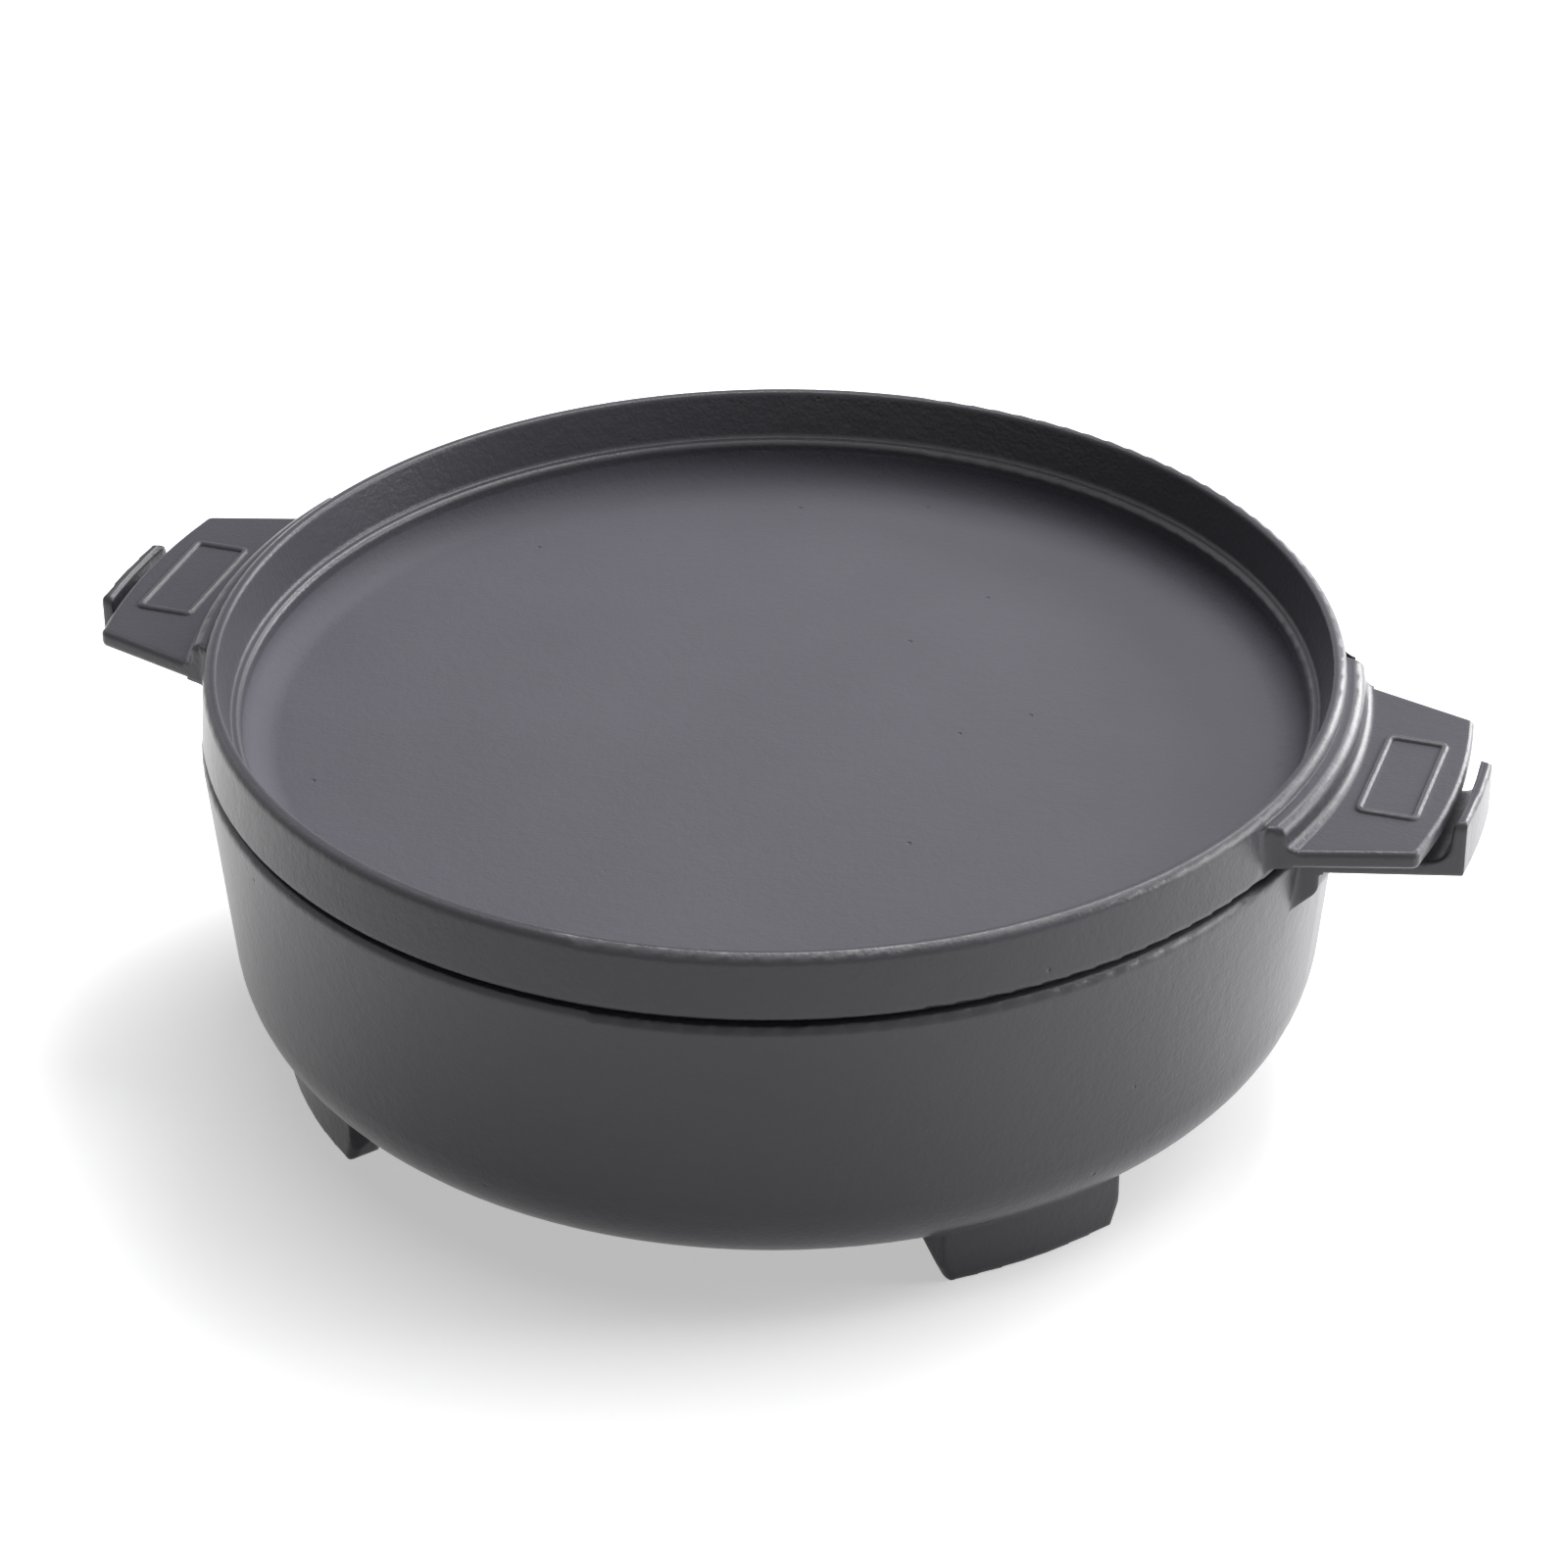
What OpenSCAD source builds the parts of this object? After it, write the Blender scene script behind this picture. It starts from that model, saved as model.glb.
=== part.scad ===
// Camp dutch oven: a round cast-iron pot on four feet, under a lid that is also a griddle.
// The origin is on the floor under the pot's centre, +Z is up, the handles lie along X. Millimetres.

/* [Pot] */
// Outside radius of the pot at its rim
pot_r = 157; // [140:0.5:175]
// Height of the pot from its underside to its rim
pot_h = 85.4; // [75:0.1:120]
// Thickness of the pot's wall
pot_wall = 5.6; // [4.8:0.1:7]
// Thickness of the pot's floor
pot_floor = 6; // [5:0.1:8]
// Lean of the pot's wall, in degrees
pot_draft = 5; // [3:0.25:7]
// Outside radius of the corner between wall and underside
pot_corner_r = 26.3; // [22:0.1:32]
// Rounding of the rim's outer edge
pot_rim_round = 2.4; // [1.5:0.1:2.6]

/* [Feet] */
// Height of the feet under the pot
foot_h = 12; // [8:0.5:20]
// Width of a foot on the floor, along its outer face
foot_w = 52; // [36:1:60]
// Thickness of a foot from its outer to its inner face
foot_t = 10; // [8:0.25:12]
// Distance from the centre of the pot's corner curve out to a foot's outer face
foot_out = 14.2; // [11:0.1:16]
// Angle between the handles and the middle of a foot, in degrees
foot_angle = 42; // [36:0.5:48]
// Lean of a foot's ends, in degrees
foot_slant = 22; // [12:1:28]
// Rounding of a foot's corners
foot_round = 2.6; // [1.5:0.1:3]

/* [Pot handles] */
// Distance from the rim out to the face of the hooked lip
pot_grip_reach = 38.8; // [34:0.1:46]
// Width of the handle at its lip
pot_grip_tip_w = 33.2; // [26:0.2:44]
// Angle of each side of the handle, in degrees
pot_grip_taper = 15.6; // [8:0.2:20]
// Thickness of the handle's plate
pot_grip_t = 4.5; // [3.5:0.1:6]
// Depth of the plate's top below the rim
pot_grip_drop = 3; // [2:0.1:5]
// Height of the hooked lip above the plate
lip_h = 11.9; // [8:0.1:14]
// Thickness of the lip at its top
lip_t = 3.2; // [2.8:0.1:4]
// Radius of the hollow corner between plate and lip
lip_fillet = 5; // [3:0.1:6]
// Height of the thick root under the plate
gusset_h = 11; // [9:0.1:15]
// Thickness of that root
gusset_t = 4.8; // [4:0.1:7]

/* [Lid] */
// Height from the pot's rim to the lid's rim
lid_rise = 19.6; // [18.5:0.1:24]
// Shadow gap between the lid's skirt and the pot's rim
skirt_gap = 1.4; // [1:0.1:2]
// Distance of the skirt's foot inside the pot's outside
skirt_inset = 0.6; // [0.2:0.1:1.2]
// Widening of the skirt from its rim to its foot
skirt_flare = 1.4; // [0.5:0.1:2]
// Width of the lid's rim
lid_rim_w = 3.5; // [3:0.1:4.5]
// Rounding of the rim's outer edge
lid_rim_round = 2.3; // [1:0.1:2.6]
// Inward lean of the lid's inner wall from rim to ledge
lid_wall_lean = 3; // [1.5:0.1:3.5]
// Depth of the ledge below the lid's rim
ledge_depth = 13.7; // [12:0.1:15]
// Width of the ledge
ledge_w = 2.7; // [2:0.1:4.5]
// Rounding of the ledge's edge
ledge_round = 1.3; // [0.8:0.1:2.2]
// Depth of the griddle's floor below the lid's rim
tray_depth = 24.5; // [23:0.1:30]
// Thickness of the griddle's floor
tray_floor = 5; // [4:0.1:7]
// Radius of the hollow corner round the griddle's floor
tray_corner_r = 8.8; // [6:0.1:10]
// Clearance between the lid's pan and the pot's wall
lid_clear = 1; // [0.6:0.1:2]

/* [Lid handles] */
// Distance from the skirt's foot out to the tip of the handle
lid_grip_reach = 33.2; // [30:0.1:34.5]
// Width of the handle at its tip
lid_grip_tip_w = 71.2; // [56:0.2:80]
// Angle of each side of the handle, in degrees
lid_grip_taper = 16.9; // [8:0.1:20]
// Thickness of the handle's plate
lid_grip_t = 5; // [4:0.1:6]
// Depth of the plate's top below the lid's rim
lid_grip_drop = 10.1; // [9:0.1:11.5]
// Rounding of the plate's edges
lid_grip_round = 1.5; // [0.8:0.1:1.6]
// Depth of the shoulder's top below the lid's rim
shoulder_drop = 3; // [2:0.1:4]
// Distance from the rim out to the shoulder's face
shoulder_w = 5.3; // [4:0.1:7]
// Length of the raised frame on the handle
frame_l = 40.6; // [24:0.2:46]
// Width of the raised frame
frame_w = 16.9; // [10:0.1:18]
// Width of the frame's line
frame_line = 1.8; // [1:0.1:2.5]
// Height of the frame above the handle
frame_h = 0.9; // [0.4:0.1:1.2]

/* [Hidden] */
$fn = 128;

// Small roundings that the castings share
edge_round = 1.2;
fine_round = 0.6;
// How far a piece of a casting runs into the piece that carries it
sink = 0.5;
// Share of the way from an arc's chord to its centre by which a rounding laps over its outline
chord_lap = 0.1;
// A length and a height that reach past everything
beyond = 3 * pot_r;
tall = pot_h + lid_rise + foot_h;

// Heights above the floor
rim_z = foot_h + pot_h;
top_z = rim_z + lid_rise;
skirt_z = rim_z + skirt_gap;
ledge_z = top_z - ledge_depth;
tray_z = top_z - tray_depth;
pan_z = tray_z - tray_floor;
inner_z = foot_h + pot_floor;
pot_grip_top = rim_z - pot_grip_drop;
pot_grip_bottom = pot_grip_top - pot_grip_t;
lip_z = pot_grip_top + lip_h;
gusset_z = pot_grip_bottom - gusset_h;
lid_grip_top = top_z - lid_grip_drop;
lid_grip_bottom = lid_grip_top - lid_grip_t;
shoulder_z = top_z - shoulder_drop;

// Radii of the pot: its outside and inside walls at a height, and the centre of its corner curve
function pot_out(z) = pot_r - tan(pot_draft) * (rim_z - z);
function pot_in(z) = pot_out(z) - pot_wall;
pot_inner_corner_r = pot_corner_r - pot_wall;
corner_z = foot_h + pot_corner_r;
corner_r = pot_out(corner_z - pot_corner_r * sin(pot_draft)) - pot_corner_r * cos(pot_draft);
pot_root_r = pot_out(gusset_z) - pot_wall / 2;
pot_tip_r = pot_r + pot_grip_reach;

// Radii of the feet, and the height at which the pot's curve meets their outer face
foot_r = corner_r + foot_out;
foot_top = corner_z - sqrt(pow(pot_corner_r, 2) - pow(foot_out, 2)) + fine_round;
foot_span = asin(foot_w / 2 / foot_r);

// Radii of the lid: its skirt at a height, its inner wall, and the pan that hangs in the pot
skirt_r = pot_r - skirt_inset;
lid_r = skirt_r - skirt_flare;
function skirt_out(z) = lid_r + skirt_flare * (top_z - z) / (top_z - skirt_z);
lid_in_r = lid_r - lid_rim_w;
ledge_out_r = lid_in_r - lid_wall_lean;
ledge_in_r = ledge_out_r - ledge_w;
function pan_out(z) = pot_in(z) - lid_clear;
seat_out_r = pot_r - pot_rim_round - sink;
lid_root_r = lid_r - lid_rim_w / 2;
lid_tip_r = skirt_r + lid_grip_reach;
shoulder_r = lid_r + shoulder_w;
frame_x = (shoulder_r + lid_tip_r) / 2 - fine_round;

// Roundings and hollow corners of the handles
tip_round = 2 * lid_grip_round;
// How far a turned tip corner stands off the straight edges, so that the surfaces cross and never graze
tip_ease = 0.08;
pot_web_r = 3.5;
lid_web_r = 6;
shoulder_fillet = 2.7;
shoulder_round = 3.2;
shoulder_end_round = 2.5;
// Rounding of the frame's line, and the outside radius of its turned corners
frame_round = 0.45 * frame_line;
frame_corner = frame_line + fine_round;
under_fillet = min(2.6, lid_grip_bottom - skirt_z - sink);
gusset_round = 4;
lip_end_round = 3;

// Corner i of an outline, and the directions from it to the corners on both sides
function at(c, i) = [c[i][0], c[i][1]];
function unit(v) = v / norm(v);
function back(c, i) = unit(at(c, (i + len(c) - 1) % len(c)) - at(c, i));
function ahead(c, i) = unit(at(c, (i + 1) % len(c)) - at(c, i));
// Half of the corner's angle, and the distance at which its rounding leaves the straight sides
function half_angle(c, i) = acos(back(c, i) * ahead(c, i)) / 2;
function setback(c, i) = c[i][2] / tan(half_angle(c, i));
function arc_centre(c, i) =
    at(c, i) + unit(back(c, i) + ahead(c, i)) * c[i][2] / sin(half_angle(c, i));
function arc_start(c, i) = at(c, i) + back(c, i) * setback(c, i);
function arc_end(c, i) = at(c, i) + ahead(c, i) * setback(c, i);
function is_round(c, i) = c[i][2] > 0;
// A corner bulges when the outline, which runs anticlockwise, turns left there
function bulges(c, i) = cross(ahead(c, i), back(c, i)) > 0;

// The round part of one corner: the slice of its circle between the arc and a point just behind its chord
function behind_chord(c, i) =
    (arc_start(c, i) + arc_end(c, i)) / 2 * (1 - chord_lap) + arc_centre(c, i) * chord_lap;
module corner_slice(c, i) {
    intersection() {
        translate(arc_centre(c, i)) circle(r = c[i][2]);
        polygon([behind_chord(c, i), arc_start(c, i), at(c, i), arc_end(c, i)]);
    }
}

// Area inside a closed outline of [x, y, rounding] corners, with each rounding a true arc
module outline(c) {
    last = len(c) - 1;
    difference() {
        union() {
            polygon([for (i = [0:last]) each is_round(c, i) ? [arc_start(c, i), arc_end(c, i)] : [at(c, i)]]);
            for (i = [0:last]) if (is_round(c, i) && bulges(c, i)) corner_slice(c, i);
        }
        for (i = [0:last]) if (is_round(c, i) && !bulges(c, i)) corner_slice(c, i);
    }
}

// A profile turned about the Z axis over an arc that is centred on +X
module arc_sweep(c, half_arc) {
    rotate([0, 0, -half_arc]) rotate_extrude(angle = 2 * half_arc) outline(c);
}

// Plan of a handle with straight sides. Side direction u points to the tip, n points out of the handle,
// and side_d is the distance from the pot's axis to the line that the side lies on.
function side_u(taper) = [cos(taper), -sin(taper)];
function side_n(taper) = [sin(taper), cos(taper)];
function side_d(tip_r, tip_w, taper) =
    side_n(taper) * [sqrt(pow(tip_r, 2) - pow(tip_w / 2, 2)), tip_w / 2];
// Point at a distance from the side's line, negative inside, and at a radius from the axis
function side_point(d, taper, from_side, radius) =
    side_n(taper) * (d + from_side) + side_u(taper) * sqrt(pow(radius, 2) - pow(d + from_side, 2));

// Both sides of a handle's block: a section with its edge on the side's line, run along that line
module both_sides() {
    for (side = [0, 1]) mirror([0, side, 0]) children();
}
module side_block(d, taper, low, high, high_round) {
    rotate([0, 0, -taper])
        rotate([90, 0, 90])
            linear_extrude(height = beyond)
                outline([[-beyond, low, 0], [d, low, 0], [d, high, high_round], [-beyond, high, 0]]);
}
module between_sides(d, taper, low, high, high_round) {
    intersection() {
        side_block(d, taper, low, high, high_round);
        mirror([0, 1, 0]) side_block(d, taper, low, high, high_round);
    }
}

// Plan of the hollow corner where a side runs into a round wall
module web_plan(d, taper, wall_r, web_r) {
    middle = side_point(d, taper, web_r, wall_r + web_r);
    on_side = middle - side_n(taper) * web_r;
    on_wall = unit(middle) * wall_r;
    into = (wall_r - sink) / wall_r;
    difference() {
        polygon([on_side, middle, on_wall, on_wall * into * into, on_side * into * into]);
        translate(middle) circle(r = web_r);
    }
}
module webs(d, taper, wall_r, web_r) {
    both_sides() linear_extrude(height = tall) web_plan(d, taper, wall_r, web_r);
}

// Trimmer for a straight edge of a handle's plate: the corner outside a quarter round, run along the side
// from one radius to another, for an edge that faces up or down
module edge_trim(d, taper, z, round, up, from_r, to_r) {
    run = [for (radius = [from_r, to_r]) sqrt(pow(radius, 2) - pow(d, 2))];
    rotate([0, 0, -taper])
        translate([run[0], d, z])
            rotate([90, 0, 90])
                linear_extrude(height = run[1] - run[0])
                    mirror([0, up ? 0 : 1])
                        translate([-round, -round])
                            difference() {
                                square(2 * round);
                                circle(r = round);
                            }
}

// Trimmer for the tip corner of a handle's plate: what lies outside a corner with a rounded edge,
// turned about the middle of that corner
module tip_trim(d, taper, tip_r, low, high, round) {
    middle = side_point(d, taper, tip_ease - tip_round, tip_r + tip_ease - tip_round);
    start = atan2(middle[1], middle[0]);
    outside = [2 * tip_round, high - low + 2 * tip_round];
    translate(middle)
        rotate([0, 0, start])
            rotate_extrude(angle = 90 - taper - start)
                difference() {
                    translate([tip_round / 2, low - tip_round]) square(outside);
                    outline([[0, low, 0], [tip_round, low, round], [tip_round, high, round], [0, high, 0]]);
                }
}

// Pot: the turned vessel
module pot_vessel() {
    rotate_extrude() outline([
        [0, foot_h, 0],
        [pot_out(foot_h), foot_h, pot_corner_r],
        [pot_r, rim_z, pot_rim_round],
        [pot_in(rim_z), rim_z, edge_round],
        [pot_in(inner_z), inner_z, pot_inner_corner_r],
        [0, inner_z, 0]
    ]);
}

// One foot: an arc of ring with leaning ends, all its corners rounded
module foot_end_block() {
    rotate([0, 0, foot_span])
        translate([foot_r + foot_t, 0, 0])
            rotate([90, 0, -90])
                linear_extrude(height = 3 * foot_t)
                    outline([
                        [-tan(foot_slant) * foot_top, foot_top, 0],
                        [0, 0, foot_round],
                        [foot_w, 0, 0],
                        [foot_w, foot_top, 0]
                    ]);
}
module foot_edge_cut(radius, outward) {
    rotate([0, 0, foot_span])
        translate([radius, 0, 0])
            rotate([-foot_slant, 0, 0])
                translate([0, 0, -foot_top])
                    linear_extrude(height = 3 * foot_top)
                        mirror([outward ? 0 : 1, 0])
                            difference() {
                                translate([-foot_round, -foot_round]) square(2 * foot_round);
                                translate([-foot_round, -foot_round]) circle(r = foot_round);
                            }
}
module foot() {
    difference() {
        intersection() {
            arc_sweep([
                [foot_r - foot_t, 0, foot_round],
                [foot_r, 0, fine_round],
                [foot_r, foot_top, fine_round],
                [foot_r - foot_t, foot_h + pot_floor / 3, 0]
            ], 2 * foot_span);
            foot_end_block();
            mirror([0, 1, 0]) foot_end_block();
        }
        both_sides() {
            foot_edge_cut(foot_r, true);
            foot_edge_cut(foot_r - foot_t, false);
        }
    }
}

// One pot handle: a tapered plate with a hooked lip at its tip and a thick root under it
module pot_grip() {
    taper = pot_grip_taper;
    d = side_d(pot_tip_r, pot_grip_tip_w, taper);
    half_arc = 2 * asin(pot_grip_tip_w / pot_tip_r);
    lip_in = pot_tip_r - lip_t;
    lip_foot = lip_in - lip_t / 4;
    gusset_r = pot_out(pot_grip_bottom) + gusset_t;
    difference() {
        intersection() {
            arc_sweep([
                [pot_root_r, gusset_z, 0],
                [pot_out(gusset_z), gusset_z, 0],
                [gusset_r, gusset_z + gusset_h / 2, gusset_round],
                [gusset_r, pot_grip_bottom, edge_round],
                [pot_tip_r, pot_grip_bottom, edge_round],
                [pot_tip_r, lip_z, edge_round],
                [lip_in, lip_z, edge_round],
                [lip_foot, pot_grip_top, lip_fillet],
                [pot_root_r, pot_grip_top, 0]
            ], half_arc);
            union() {
                between_sides(d, taper, gusset_z - sink, lip_z + sink, lip_end_round);
                webs(d, taper, pot_out(gusset_z), pot_web_r);
            }
        }
        both_sides() {
            edge_trim(d, taper, pot_grip_top, edge_round, true, pot_r + pot_web_r, lip_foot - lip_fillet);
            edge_trim(d, taper, pot_grip_bottom, edge_round, false, gusset_r + edge_round, pot_tip_r + sink);
        }
    }
}

// The pot casting
module pot() {
    color([0.27, 0.265, 0.29]) {
        pot_vessel();
        for (turn = [0, 180]) rotate([0, 0, turn]) {
            pot_grip();
            both_sides() rotate([0, 0, foot_angle]) foot();
        }
    }
}

// Lid: the turned griddle pan with its skirt
module lid_pan() {
    rotate_extrude() outline([
        [0, pan_z, 0],
        [pan_out(pan_z), pan_z, tray_floor],
        [pan_out(rim_z), rim_z, fine_round],
        [seat_out_r, rim_z, fine_round],
        [seat_out_r + sink, skirt_z, fine_round],
        [skirt_r, skirt_z, edge_round],
        [lid_r, top_z, lid_rim_round],
        [lid_in_r, top_z, fine_round],
        [ledge_out_r, ledge_z, fine_round],
        [ledge_in_r, ledge_z, ledge_round],
        [ledge_in_r - tan(pot_draft) * (ledge_z - tray_z), tray_z, tray_corner_r],
        [0, tray_z, 0]
    ]);
}

// Plate of a lid handle with the stepped shoulder that carries it: the shoulder falls from the rim in a bead
// and hollows out to the plate, and a second hollow runs from the plate's underside into the skirt
module lid_grip_plate() {
    taper = lid_grip_taper;
    round = lid_grip_round;
    d = side_d(lid_tip_r, lid_grip_tip_w, taper);
    half_arc = 2 * asin(lid_grip_tip_w / 2 / lid_tip_r) + taper / 2;
    wall_r = skirt_out(lid_grip_bottom);
    foot_z = lid_grip_bottom - under_fillet - sink / 2;
    past_tip = lid_tip_r + sink;
    difference() {
        difference() {
            intersection() {
                arc_sweep([
                    [lid_root_r, foot_z, 0],
                    [wall_r, foot_z, 0],
                    [wall_r, lid_grip_bottom, under_fillet],
                    [lid_tip_r, lid_grip_bottom, round],
                    [lid_tip_r, lid_grip_top, round],
                    [shoulder_r, lid_grip_top, shoulder_fillet],
                    [shoulder_r, shoulder_z, shoulder_round],
                    [lid_root_r, shoulder_z, 0]
                ], half_arc);
                union() {
                    between_sides(d, taper, foot_z - sink, shoulder_z + sink, shoulder_end_round + sink);
                    webs(d, taper, skirt_out(shoulder_z), lid_web_r);
                }
            }
            both_sides() tip_trim(d, taper, lid_tip_r, lid_grip_bottom, lid_grip_top, round);
        }
        both_sides() {
            edge_trim(d, taper, lid_grip_top, round, true, shoulder_r + shoulder_fillet, past_tip);
            edge_trim(d, taper, lid_grip_bottom, round, false, wall_r + lid_web_r, past_tip);
        }
    }
}

// Raised frame round a bare field: bars and turned corners that share one rounded section
module frame_section() {
    outline([
        [0, -sink, 0],
        [frame_line, -sink, 0],
        [frame_line, frame_h, frame_round],
        [0, frame_h, frame_round]
    ]);
}
module frame_bar(place, length) {
    translate([place - frame_line, 0, 0])
        rotate([90, 0, 0])
            linear_extrude(height = length, center = true)
                frame_section();
}
module lid_grip_frame() {
    across = frame_w / 2 - frame_corner;
    along = frame_l / 2 - frame_corner;
    translate([frame_x, 0, lid_grip_top])
        for (turn = [0, 180]) rotate([0, 0, turn]) {
            frame_bar(frame_w / 2, 2 * along);
            rotate([0, 0, 90]) frame_bar(frame_l / 2, 2 * across);
            for (corner = [[across, along, 0], [-across, along, 90]])
                translate([corner[0], corner[1], 0])
                    rotate([0, 0, corner[2]])
                        rotate_extrude(angle = 90)
                            translate([frame_corner - frame_line, 0])
                                frame_section();
        }
}

// The lid casting
module griddle_lid() {
    color([0.33, 0.325, 0.35]) {
        lid_pan();
        for (turn = [0, 180]) rotate([0, 0, turn]) {
            lid_grip_plate();
            lid_grip_frame();
        }
    }
}

pot();
griddle_lid();
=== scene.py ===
# %% [markdown]
# A camp dutch oven in cast iron
#
# The object is two castings: a round pot on short feet, and a lid that lifts off and serves as a griddle.
# Their shapes come ready made from the CAD model. This lesson gives them the skin of seasoned sand-cast
# iron, lights them like a catalogue picture, and stands a camera where a buyer would stand.

# %% Load the castings
import math

import bmesh
import bpy
from mathutils import Matrix, Vector

MM = 0.001

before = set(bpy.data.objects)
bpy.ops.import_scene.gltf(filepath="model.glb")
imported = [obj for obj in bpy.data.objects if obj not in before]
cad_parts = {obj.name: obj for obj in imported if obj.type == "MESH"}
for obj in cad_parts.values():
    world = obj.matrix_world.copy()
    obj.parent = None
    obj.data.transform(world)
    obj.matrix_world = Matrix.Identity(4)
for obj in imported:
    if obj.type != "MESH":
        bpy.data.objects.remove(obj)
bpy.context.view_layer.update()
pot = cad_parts["pot"]
griddle_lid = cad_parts["griddle_lid"]
print("castings:", ", ".join(sorted(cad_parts)))

# %% [markdown]
# Camera
#
# A product picture of a pot is taken with a long lens from a step away, so that the rim stays a clean
# ellipse. Blender's camera looks along its own -Z with +Y up. Three turns set it: the heading about the
# world's Z, the tilt down from the horizon about its X, and a small roll about the line of sight, as on a
# hand-levelled tripod.

# %% Stand the camera
CAMERA_PLACE = Vector((0.3631, -1.0437, 0.7476))
CAMERA_HEADING = math.radians(19.07)
CAMERA_TILT = math.radians(31.45)
CAMERA_ROLL = math.radians(0.47)
LENS_MM = 107.27
SENSOR_MM = 36.0

camera_data = bpy.data.cameras.new("picture_camera")
camera_data.lens = LENS_MM
camera_data.sensor_width = SENSOR_MM
camera = bpy.data.objects.new("picture_camera", camera_data)
bpy.context.scene.collection.objects.link(camera)
camera.matrix_world = (
    Matrix.Translation(CAMERA_PLACE)
    @ Matrix.Rotation(CAMERA_HEADING, 4, "Z")
    @ Matrix.Rotation(math.pi / 2 - CAMERA_TILT, 4, "X")
    @ Matrix.Rotation(-CAMERA_ROLL, 4, "Z")
)
bpy.context.scene.camera = camera

# %% [markdown]
# Colours
#
# Colours are picked as the hex values that a paint program shows. Those follow the sRGB curve, which is a
# straight line near black and a power above it. Blender's shaders want linear light, so one function
# undoes the curve.

# %% Turn hex colours into linear light
SRGB_KNEE = 0.04045
SRGB_SLOPE = 12.92
SRGB_OFFSET = 0.055
SRGB_POWER = 2.4
WHITE = "#ffffff"


def linear(hex_colour):
    """Linear RGBA of an sRGB hex colour such as "#3c3b40"."""
    rgba = []
    for start in (1, 3, 5):
        share = int(hex_colour[start:start + 2], 16) / 255
        if share <= SRGB_KNEE:
            rgba.append(share / SRGB_SLOPE)
        else:
            rgba.append(((share + SRGB_OFFSET) / (1 + SRGB_OFFSET)) ** SRGB_POWER)
    return rgba + [1.0]


print("test colour in linear light:", [round(channel, 3) for channel in linear("#3c3b40")])

# %% [markdown]
# Node helpers
#
# One small function adds a shader node, sets its options, and fills each input with either a plain value
# or a link from another node. Another starts an empty material. The last tells the rays that see a surface
# from those that only carry its light to others, so that a backdrop can look white without lighting the
# object.

# %% Helpers for materials
def add_node(tree, kind, inputs=None, **options):
    """A new shader node with its options set and its inputs filled or linked."""
    node = tree.nodes.new(kind)
    for name, value in options.items():
        setattr(node, name, value)
    for name, value in (inputs or {}).items():
        if isinstance(value, bpy.types.NodeSocket):
            tree.links.new(value, node.inputs[name])
        else:
            node.inputs[name].default_value = value
    return node


def new_material(name):
    """An empty node material and its output node."""
    material = bpy.data.materials.new(name)
    material.use_nodes = True
    material.node_tree.nodes.clear()
    return material, add_node(material.node_tree, "ShaderNodeOutputMaterial")


def seen_or_mirrored(tree):
    """1 for rays from the camera, a mirror or a clear body, 0 for the rays that carry light about."""
    rays = add_node(tree, "ShaderNodeLightPath").outputs
    seen = rays["Is Camera Ray"]
    for kind in ("Is Glossy Ray", "Is Transmission Ray"):
        both = add_node(tree, "ShaderNodeMath", {0: seen, 1: rays[kind]}, operation="MAXIMUM")
        seen = both.outputs["Value"]
    return seen


print("node helpers ready")

# %% [markdown]
# Relief of a sand casting
#
# Molten iron takes the print of the sand mould: a close pebble of grit with an orange peel and slow swells
# under it, and here and there a pin-hole where gas was trapped. All this is too fine to model as faces, so
# it is bump. Each pattern takes its scale from the width of its lumps in millimetres, and its strength from
# their depth. A Bevel node comes first and rounds the normals at the creases, as moulding sand always does.

# %% Print the sand into the normals
SWELL_MM, SWELL_DETAIL, SWELL_DEPTH_MM = 14.0, 1.0, 0.10
PEEL_MM, PEEL_DETAIL, PEEL_DEPTH_MM = 3.2, 2.0, 0.12
GRIT_MM, GRIT_DETAIL, GRIT_DEPTH_MM = 1.1, 2.0, 0.09
PIT_SPACING_MM, PIT_DEPTH_MM = 22.0, 0.4
PIT_R_MM, PIT_FLOOR_R_MM = 0.8, 0.32
CREASE_MM, CREASE_SAMPLES = 2.0, 8


def noise(tree, place, size_mm, detail):
    """Noise whose lumps are about this wide."""
    values = {"Vector": place, "Scale": 1 / (size_mm * MM), "Detail": detail}
    return add_node(tree, "ShaderNodeTexNoise", values).outputs["Fac"]


def pin_holes(tree, place):
    """0 on the floor of a few scattered pits, rising to 1 at their edge and outside."""
    cells = add_node(tree, "ShaderNodeTexVoronoi", {"Vector": place, "Scale": 1 / (PIT_SPACING_MM * MM)})
    return add_node(tree, "ShaderNodeMapRange", {
        "Value": cells.outputs["Distance"],
        "From Min": PIT_FLOOR_R_MM / PIT_SPACING_MM,
        "From Max": PIT_R_MM / PIT_SPACING_MM,
    }, interpolation_type="SMOOTHSTEP").outputs["Result"]


def sand_cast_normal(tree, place):
    """The surface's normal with rounded creases, swells, peel, grit and pin-holes."""
    relief = (
        (noise(tree, place, SWELL_MM, SWELL_DETAIL), SWELL_DEPTH_MM),
        (noise(tree, place, PEEL_MM, PEEL_DETAIL), PEEL_DEPTH_MM),
        (noise(tree, place, GRIT_MM, GRIT_DETAIL), GRIT_DEPTH_MM),
        (pin_holes(tree, place), PIT_DEPTH_MM),
    )
    crease = add_node(tree, "ShaderNodeBevel", {"Radius": CREASE_MM * MM}, samples=CREASE_SAMPLES)
    normal = crease.outputs["Normal"]
    for height, depth_mm in relief:
        normal = add_node(tree, "ShaderNodeBump", {
            "Height": height, "Distance": depth_mm * MM, "Normal": normal,
        }).outputs["Normal"]
    return normal


print("grit in mm:", GRIT_MM, "wide and", GRIT_DEPTH_MM, "deep")

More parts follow.
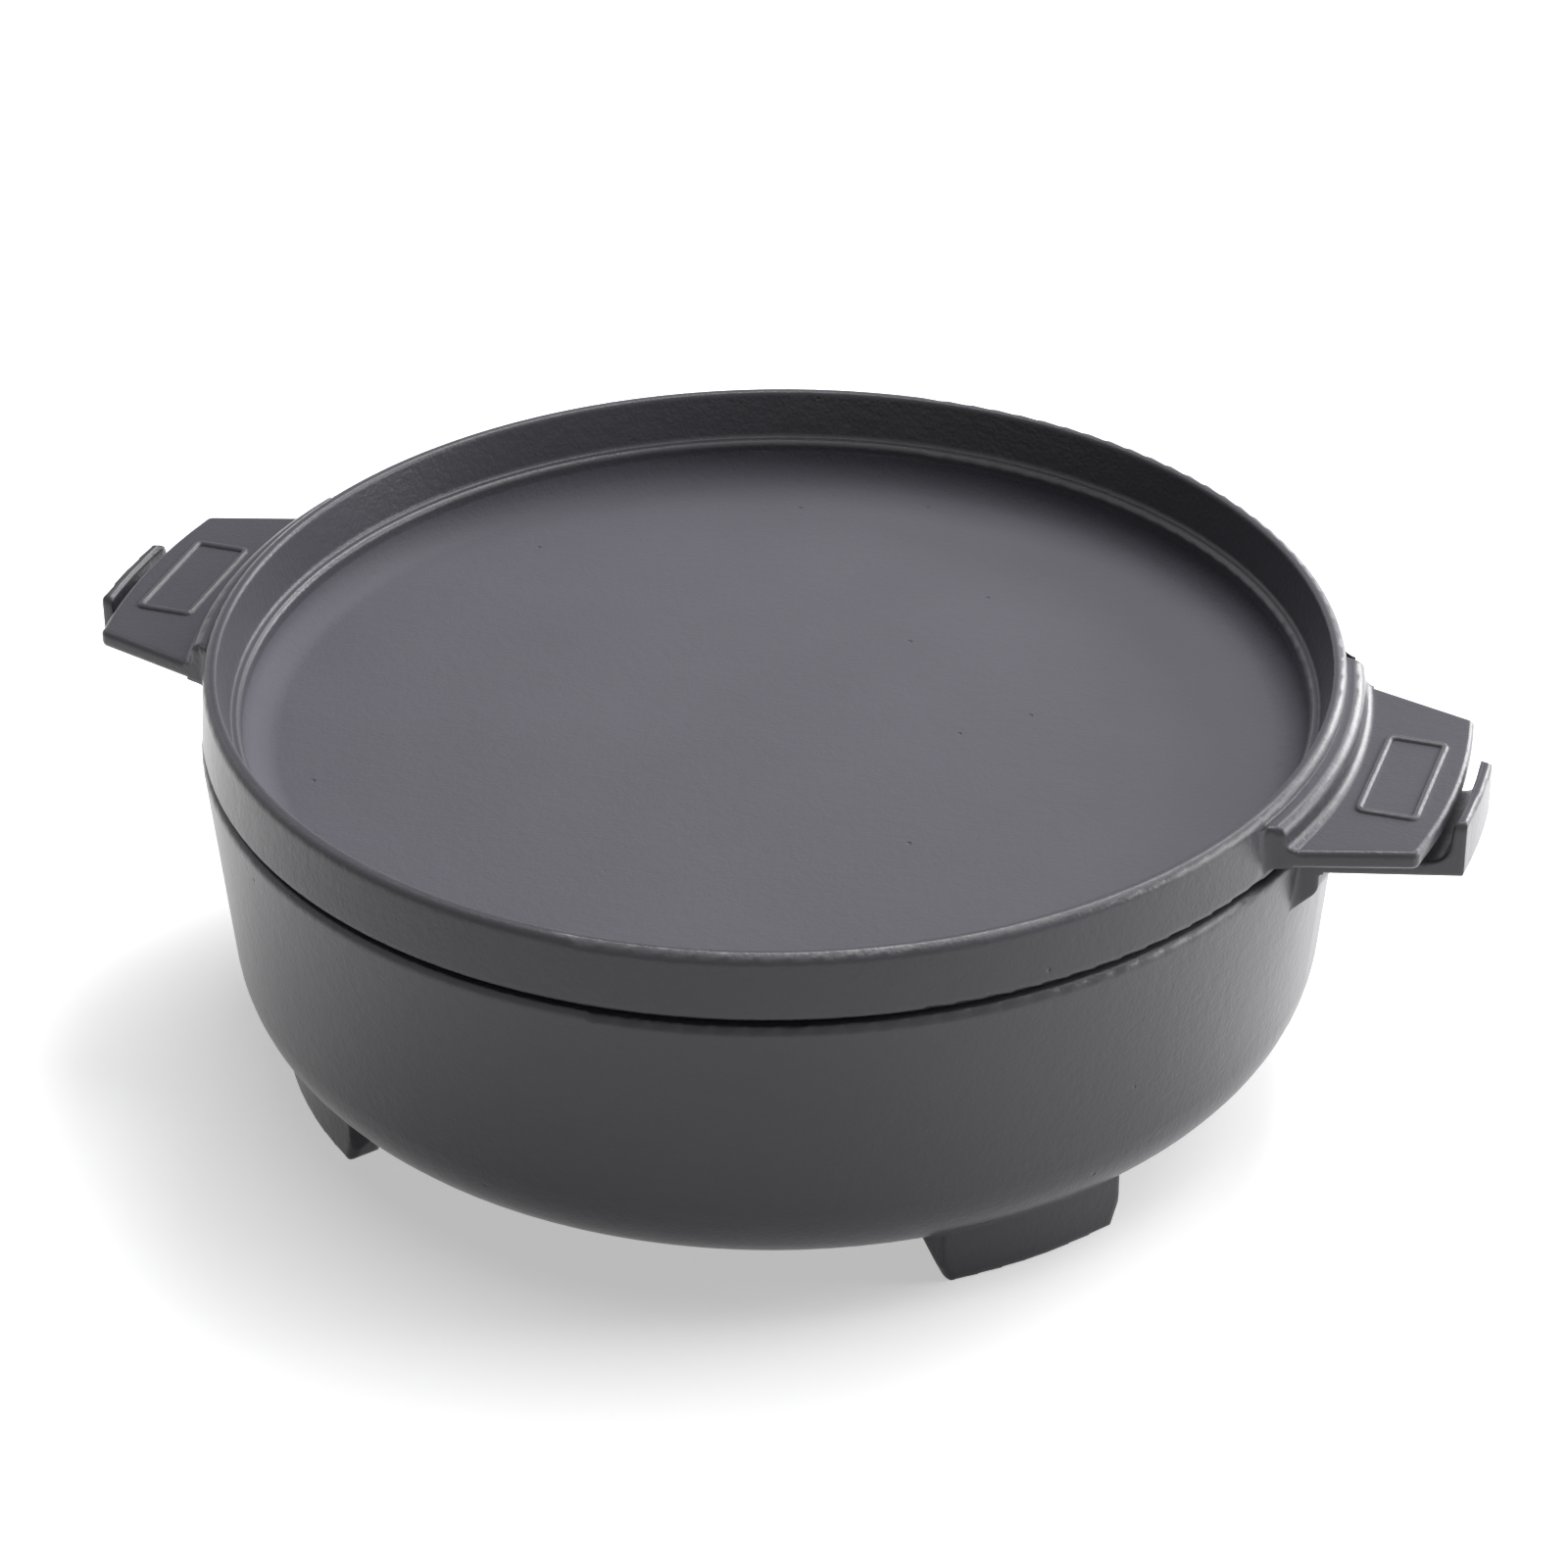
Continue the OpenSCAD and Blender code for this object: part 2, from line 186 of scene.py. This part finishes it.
# %% [markdown]
# Where the iron is dull, and painted paler
#
# Flat tops and the griddle's cooking surface are rougher and mirror less than the walls, and they are also
# painted paler, a painted top light for the light that falls on them from above. Two masks pick them: faces
# whose normal points straight up, and all of a casting that lies within a radius of its axis. Both are read
# in Object coordinates, which stay with the lid when it is lifted.

# %% Mask the dull places, which are also painted paler
FLAT_FROM, STRAIGHT_UP = 0.97, 1.0
TRAY_R_MM = 145.4
NO_TRAY_R_MM = 0.0
ACROSS = (1.0, 1.0, 0.0)


def flat_tops(tree, normal):
    """1 where a face points straight up, falling to 0 where it leans."""
    upward = add_node(tree, "ShaderNodeSeparateXYZ", {"Vector": normal}).outputs["Z"]
    return add_node(tree, "ShaderNodeMapRange", {
        "Value": upward, "From Min": FLAT_FROM, "From Max": STRAIGHT_UP,
    }).outputs["Result"]


def near_axis(tree, place, radius_mm):
    """1 within this radius of the upright axis, 0 outside."""
    across = add_node(tree, "ShaderNodeVectorMath", {0: place, 1: ACROSS}, operation="MULTIPLY")
    radius = add_node(tree, "ShaderNodeVectorMath", {0: across.outputs["Vector"]}, operation="LENGTH")
    return add_node(tree, "ShaderNodeMath", {
        0: radius.outputs["Value"], 1: radius_mm * MM,
    }, operation="LESS_THAN").outputs["Value"]


print("tray radius in mm:", TRAY_R_MM)

# %% [markdown]
# Seasoned iron
#
# The factory bakes oil onto the casting, which leaves a dark grey skin with a soft sheen. The baked oil is
# a clear film over dark iron, so it is shaded as a rough non-metal: the grey comes from the film and the
# sheen from its IOR. Wide blotches vary both a little. The masks make flat tops duller and paint them
# slightly paler, and paint the griddle's tray paler still: painted top light, not a colour of the iron.

# %% Make the iron
IRON_LIGHT = "#4d4c52"
IRON_DARK = "#444349"
IRON_IOR = 1.42
BLOTCH_MM, BLOTCH_DETAIL, BLOTCH_SHEEN = 60.0, 3.0, 0.06
WALL_ROUGHNESS, DULL_ROUGHNESS = 0.27, 0.55
WALL_MIRROR, DULL_MIRROR = 0.5, 0.1
# The tones paint flat tops and the tray paler than the walls: painted top light.
WALL_TONE, PAINTED_TOP_LIGHT_TONE, PAINTED_TRAY_LIGHT_TONE = 1.0, 1.12, 1.55


def seasoned_cast_iron(name, tray_r_mm):
    """Sand-cast iron under baked-on oil, duller and painted paler on flat tops and within a radius of the
    axis.
    """
    material, output = new_material(name)
    tree = material.node_tree
    coordinates = add_node(tree, "ShaderNodeTexCoord").outputs
    place = coordinates["Object"]
    flat = flat_tops(tree, coordinates["Normal"])
    tray = near_axis(tree, place, tray_r_mm)
    # This mask makes places rougher and less mirroring, and also paints them paler as painted top light.
    dull_and_painted_light = add_node(tree, "ShaderNodeMath", {0: flat, 1: tray}, operation="MAXIMUM").outputs["Value"]
    blotches = noise(tree, place, BLOTCH_MM, BLOTCH_DETAIL)

    def blend(mask, value, masked_value):
        """One value outside a mask and another inside it."""
        values = {"Factor": mask, "A": value, "B": masked_value}
        return add_node(tree, "ShaderNodeMix", values).outputs["Result"]

    skin = add_node(tree, "ShaderNodeMix", {
        "Factor": blotches, "A": linear(IRON_DARK), "B": linear(IRON_LIGHT),
    }, data_type="RGBA").outputs["Result"]
    # Painted top light: flat tops and the tray get a paler tone than the walls.
    painted_top_light = blend(tray, blend(dull_and_painted_light, WALL_TONE, PAINTED_TOP_LIGHT_TONE), PAINTED_TRAY_LIGHT_TONE)
    skin_and_painted_light = add_node(tree, "ShaderNodeHueSaturation", {"Color": skin, "Value": painted_top_light}).outputs["Color"]
    roughness = add_node(tree, "ShaderNodeMath", {
        0: blotches, 1: BLOTCH_SHEEN, 2: blend(dull_and_painted_light, WALL_ROUGHNESS, DULL_ROUGHNESS),
    }, operation="MULTIPLY_ADD").outputs["Value"]
    shader = add_node(tree, "ShaderNodeBsdfPrincipled", {
        "Base Color": skin_and_painted_light,
        "Roughness": roughness,
        "IOR": IRON_IOR,
        "Specular IOR Level": blend(dull_and_painted_light, WALL_MIRROR, DULL_MIRROR),
        "Normal": sand_cast_normal(tree, place),
    })
    tree.links.new(shader.outputs["BSDF"], output.inputs["Surface"])
    return material


pot_iron = seasoned_cast_iron("seasoned_cast_iron_pot", NO_TRAY_R_MM)
lid_iron = seasoned_cast_iron("seasoned_cast_iron_griddle", TRAY_R_MM)
for casting, iron in ((pot, pot_iron), (griddle_lid, lid_iron)):
    casting.data.materials.clear()
    casting.data.materials.append(iron)
    print(casting.name, "wears", iron.name)

# %% [markdown]
# Floor
#
# The catalogue floor is a white sweep that burns out to the paper's white and keeps only a soft shadow
# under the pot, partly cast by the lamps and partly painted shade from the paper's dimmer glow there. A
# wide disc takes the shadow.

# %% Lay the floor
FLOOR_R = 4.0
FLOOR_SIDES = 96

floor_mesh = bpy.data.meshes.new("studio_floor")
disc = bmesh.new()
bmesh.ops.create_circle(disc, cap_ends=True, segments=FLOOR_SIDES, radius=FLOOR_R)
disc.to_mesh(floor_mesh)
disc.free()
floor = bpy.data.objects.new("studio_floor", floor_mesh)
bpy.context.scene.collection.objects.link(floor)
print("floor radius in m:", FLOOR_R)

# %% [markdown]
# Paper
#
# The floor's paper is matt and pale. It glows where it is seen or mirrored, half way to white under the pot
# and up to white a hand's width outside it, so that the shadow stays close and the open floor is white on
# every side, while the lamps stay at a plain level. The weaker glow near the pot is painted shade around
# it, on top of its real shadow.

# %% Cover the floor with paper
PAPER = "#dededf"
PAPER_ROUGHNESS = 0.9
PAPER_MIRROR = 0.1
# The glow near the pot is weaker: painted shade around the pot.
NEAR_R, NEAR_GLOW_PAINTED_SHADE = 0.14, 0.48
FAR_R, FAR_GLOW = 0.27, 1.0

paper, paper_output = new_material("matt_white_paper")
paper_tree = paper.node_tree
floor_place = add_node(paper_tree, "ShaderNodeTexCoord").outputs["Object"]
from_pot = add_node(paper_tree, "ShaderNodeVectorMath", {0: floor_place}, operation="LENGTH")
# Painted shade: the paper's glow rises from dim near the pot to white further out.
painted_shade_ramp = add_node(paper_tree, "ShaderNodeMapRange", {
    "Value": from_pot.outputs["Value"],
    "From Min": NEAR_R,
    "From Max": FAR_R,
    "To Min": NEAR_GLOW_PAINTED_SHADE,
    "To Max": FAR_GLOW,
})
glow = add_node(paper_tree, "ShaderNodeMath", {
    0: seen_or_mirrored(paper_tree), 1: painted_shade_ramp.outputs["Result"],
}, operation="MULTIPLY")
matt = add_node(paper_tree, "ShaderNodeBsdfPrincipled", {
    "Base Color": linear(PAPER),
    "Roughness": PAPER_ROUGHNESS,
    "Specular IOR Level": PAPER_MIRROR,
    "Emission Color": linear(WHITE),
    "Emission Strength": glow.outputs["Value"],
})
paper_tree.links.new(matt.outputs["BSDF"], paper_output.inputs["Surface"])
floor_mesh.materials.append(paper)
print("glow near the pot and far from it:", NEAR_GLOW_PAINTED_SHADE, FAR_GLOW)

# %% [markdown]
# Lamps
#
# Dark iron is lit by what it mirrors. The strongest softbox hangs high behind the pot and lights the
# griddle and the floor. A wide one overhead and one at the upper right fill the handles and the rim. A low
# one on the right draws the bright edge down that side, and another low one behind it catches the steps of
# the right handle. The front is left to the white floor, so the wall that faces the camera stays deep.

# %% Hang the lamps
STUDIO_CENTRE = Vector((0.0, 0.0, 0.08))
TO_RIGHT = Matrix.Rotation(CAMERA_HEADING, 3, "Z") @ Vector((1, 0, 0))
TO_BACK = Matrix.Rotation(CAMERA_HEADING, 3, "Z") @ Vector((0, 1, 0))


def softbox(name, right, back, up, width, watts):
    """A square lamp, placed in metres to the camera's right, back and up, and aimed at the pot."""
    lamp = bpy.data.lights.new(name, "AREA")
    lamp.size = width
    lamp.energy = watts
    holder = bpy.data.objects.new(name, lamp)
    bpy.context.scene.collection.objects.link(holder)
    holder.location = STUDIO_CENTRE + TO_RIGHT * right + TO_BACK * back + Vector((0, 0, up))
    holder.rotation_mode = "QUATERNION"
    holder.rotation_quaternion = (STUDIO_CENTRE - holder.location).to_track_quat("-Z", "Y")
    print(name, "lights from", round((holder.location - STUDIO_CENTRE).length, 2), "m")


softbox("softbox_top", right=0.15, back=0.35, up=1.8, width=1.6, watts=8.5)
softbox("softbox_back", right=0.3, back=1.0, up=1.3, width=0.8, watts=21.0)
softbox("softbox_top_right", right=0.7, back=0.1, up=1.2, width=0.8, watts=7.0)
softbox("softbox_right", right=1.15, back=0.1, up=0.33, width=0.6, watts=7.5)
softbox("softbox_right_back", right=0.82, back=0.75, up=0.33, width=0.5, watts=8.0)

# %% [markdown]
# World
#
# The world is white wherever it is seen or mirrored, and gives no other light. The Standard view transform
# shows colours as they were picked.

# %% Surround the set with white
world = bpy.data.worlds.new("white_studio")
world.use_nodes = True
sky = world.node_tree
sky.nodes.clear()
sky_light = add_node(sky, "ShaderNodeBackground", {
    "Color": linear(WHITE), "Strength": seen_or_mirrored(sky),
})
add_node(sky, "ShaderNodeOutputWorld", {"Surface": sky_light.outputs["Background"]})
bpy.context.scene.world = world
bpy.context.scene.view_settings.view_transform = "Standard"
print("view transform:", bpy.context.scene.view_settings.view_transform)
